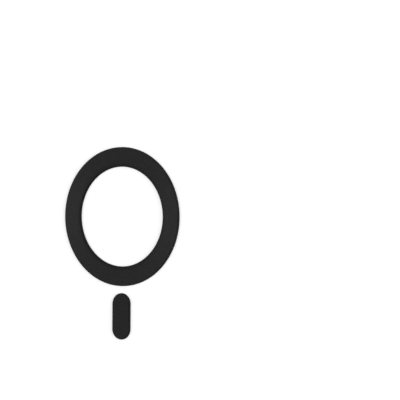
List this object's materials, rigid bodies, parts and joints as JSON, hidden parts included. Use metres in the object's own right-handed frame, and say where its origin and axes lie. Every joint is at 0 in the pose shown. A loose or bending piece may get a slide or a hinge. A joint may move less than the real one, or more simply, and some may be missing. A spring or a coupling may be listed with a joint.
{
  "type": "magnetic adapter ring",
  "caption": "Thin flat soft-touch magnetic ring with a separate pill-shaped alignment bar, both taped underneath, to give a phone or a case a magnetic mounting face.",
  "frame": {"origin": "centre of the ring, on the plane that is stuck down", "axes": "+Z out of the magnetic face, +Y from the alignment bar to the ring, +X to the right of the face"},
  "size_m": [0.058, 0.0803, 0.001],
  "materials": {
    "soft_touch": "matte black soft-touch moulding with a fine turned grain",
    "magnet_plating": "dull nickel plating",
    "yoke_steel": "bare cold-rolled strip",
    "tape": "black double-sided tape, satin adhesive face"
  },
  "bodies": {
    "root": {"ring_cover": "soft_touch", "ring_yoke": "yoke_steel", "ring_tape": "tape", "bar_cover": "soft_touch", "bar_yoke": "yoke_steel", "bar_tape": "tape", "ring_magnet_01": "magnet_plating", "ring_magnet_02": "magnet_plating", "ring_magnet_03": "magnet_plating", "ring_magnet_04": "magnet_plating", "ring_magnet_05": "magnet_plating", "ring_magnet_06": "magnet_plating", "ring_magnet_07": "magnet_plating", "ring_magnet_08": "magnet_plating", "ring_magnet_09": "magnet_plating", "ring_magnet_10": "magnet_plating", "ring_magnet_11": "magnet_plating", "ring_magnet_12": "magnet_plating", "ring_magnet_13": "magnet_plating", "ring_magnet_14": "magnet_plating", "ring_magnet_15": "magnet_plating", "ring_magnet_16": "magnet_plating", "ring_magnet_17": "magnet_plating", "ring_magnet_18": "magnet_plating", "bar_magnet_01": "magnet_plating", "bar_magnet_02": "magnet_plating"}
  },
  "joints": []
}
